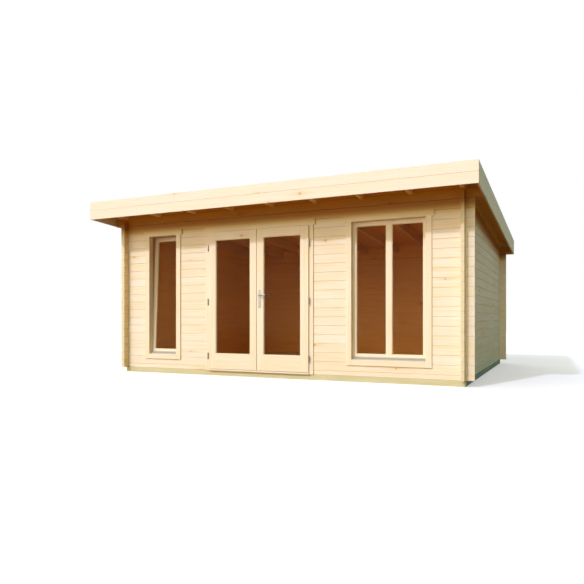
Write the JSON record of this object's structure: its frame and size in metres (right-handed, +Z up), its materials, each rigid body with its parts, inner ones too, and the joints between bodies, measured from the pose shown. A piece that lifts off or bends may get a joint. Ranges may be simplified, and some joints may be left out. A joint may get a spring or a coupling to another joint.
{
  "type": "garden house",
  "caption": "Log-built garden house with a pent roof, glazed double door, tall narrow window and wide window.",
  "frame": {"origin": "on the ground, under the middle of the roof's outline", "axes": "+X to the right along the front, +Y from the front to the back, +Z up; the door faces -Y"},
  "size_m": [5.33, 5.082, 2.4678],
  "materials": {
    "log_pine": "planed pine logs, unpainted, with knots",
    "joinery_pine": "planed and sanded pine, unpainted",
    "fascia_pine": "planed pine boards, unpainted",
    "roof_pine": "planed pine rafters and boards, unpainted",
    "floor_pine": "planed pine boards",
    "treated_pine": "green pressure-treated sawn pine",
    "roofing_felt": "mineral-faced bitumen felt, matt",
    "pane_glass": "clear float glass",
    "drip_aluminium": "mill-finish extrusion",
    "hinge_zinc": "zinc-plated steel",
    "lock_steel": "brushed steel"
  },
  "bodies": {
    "house": {"long_beams": "treated_pine", "side_beams": "treated_pine", "floor_joists": "treated_pine", "floor_boards": "floor_pine", "front_base_left": "log_pine", "front_base_right": "log_pine", "front_corner_left": "log_pine", "front_corner_right": "log_pine", "front_pier_left": "log_pine", "front_pier_right": "log_pine", "front_lintel_log": "log_pine", "front_top_log": "log_pine", "left_wall": "log_pine", "right_wall": "log_pine", "back_wall": "log_pine", "back_top_log": "log_pine", "eaves_blocks": "log_pine", "rafters": "roof_pine", "roof_boards": "roof_pine", "roof_felt": "roofing_felt", "front_fascia": "fascia_pine", "left_fascia": "fascia_pine", "right_fascia": "fascia_pine", "back_fascia": "fascia_pine", "door_jambs": "joinery_pine", "door_head": "joinery_pine", "door_threshold": "joinery_pine", "casing_sides": "joinery_pine", "casing_heads": "joinery_pine", "casing_sills": "joinery_pine", "inner_casing_sides": "joinery_pine", "inner_casing_rails": "joinery_pine", "window_jambs": "joinery_pine", "window_frame_rails": "joinery_pine", "narrow_sash": "joinery_pine", "wide_sash": "joinery_pine", "window_panes": "pane_glass", "window_beads": "joinery_pine", "window_fittings": "hinge_zinc", "drip_rails": "drip_aluminium", "frame_hinges": "hinge_zinc"},
    "left_leaf": {"left_leaf_stiles": "joinery_pine", "left_leaf_rails": "joinery_pine", "left_leaf_pane": "pane_glass", "left_leaf_beads": "joinery_pine", "left_leaf_hinges": "hinge_zinc", "leaf_bolts": "hinge_zinc"},
    "right_leaf": {"right_leaf_stiles": "joinery_pine", "right_leaf_rails": "joinery_pine", "right_leaf_pane": "pane_glass", "right_leaf_beads": "joinery_pine", "right_leaf_hinges": "hinge_zinc", "lock_plates": "lock_steel"},
    "lever": {"door_lever": "lock_steel"}
  },
  "joints": [
    {"name": "left_leaf_swing", "type": "hinge", "parent": "house", "child": "left_leaf", "pos_m": [-0.9895, -2.037, 1], "axis": [0, 0, -1], "range_deg": [0, 165]},
    {"name": "right_leaf_swing", "type": "hinge", "parent": "house", "child": "right_leaf", "pos_m": [0.5255, -2.037, 1], "axis": [0, 0, 1], "range_deg": [0, 165]},
    {"name": "lever_turn", "type": "hinge", "parent": "right_leaf", "child": "lever", "pos_m": [-0.1845, -2.028, 1.102], "axis": [0, 1, 0], "range_deg": [0, 40], "stiffness_Nm_per_rad": 1.5, "springref_deg": -20.05}
  ]
}
